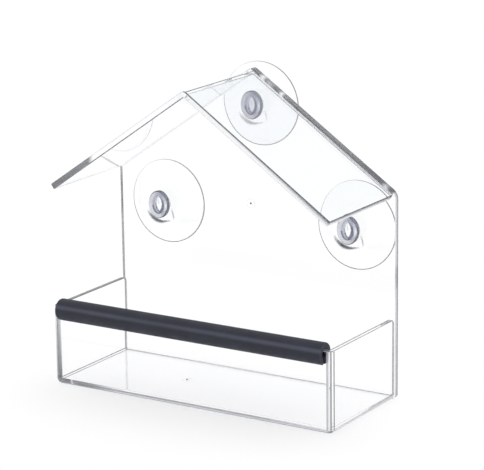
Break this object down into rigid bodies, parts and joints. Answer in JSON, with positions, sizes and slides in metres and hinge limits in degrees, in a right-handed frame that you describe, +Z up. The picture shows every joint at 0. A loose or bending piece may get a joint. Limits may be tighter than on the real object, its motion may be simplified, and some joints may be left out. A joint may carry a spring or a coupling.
{
  "type": "window bird feeder",
  "caption": "Clear house-shaped window bird feeder: flat back panel, V roof, open seed tray, dark foam perch on its front wall, and suction cups that turn in the panel's holes.",
  "frame": {"origin": "middle of the whole feeder's footprint, at the height of the tray's and panel's underside", "axes": "+Z up, +Y towards the window, so the bird comes from -Y, and +X to the right as seen by the bird's side"},
  "size_m": [0.15, 0.0696, 0.1496],
  "materials": {
    "clear_panel": "clear, polished",
    "clear_roof": "clear, polished",
    "clear_tray": "clear, polished",
    "dark_foam": "matt closed-cell foam",
    "clear_vinyl": "clear, soft"
  },
  "bodies": {
    "house": {"back_panel": "clear_panel", "roof": "clear_roof", "seed_tray": "clear_tray"},
    "perch": {"perch_sleeve": "dark_foam"},
    "top_cup": {"suction_cup_top": "clear_vinyl"},
    "left_cup": {"suction_cup_left": "clear_vinyl"},
    "right_cup": {"suction_cup_right": "clear_vinyl"}
  },
  "joints": [
    {"name": "perch_lift", "type": "slide", "parent": "house", "child": "perch", "axis": [0, 0, 1], "range_m": [0, 0.03]},
    {"name": "top_cup_turn", "type": "hinge", "parent": "house", "child": "top_cup", "pos_m": [0, 0.02952, 0.1293], "axis": [0, 1, 0], "continuous": true},
    {"name": "left_cup_turn", "type": "hinge", "parent": "house", "child": "left_cup", "pos_m": [-0.0517, 0.02952, 0.0776], "axis": [0, 1, 0], "continuous": true},
    {"name": "right_cup_turn", "type": "hinge", "parent": "house", "child": "right_cup", "pos_m": [0.0517, 0.02952, 0.0776], "axis": [0, 1, 0], "continuous": true}
  ]
}
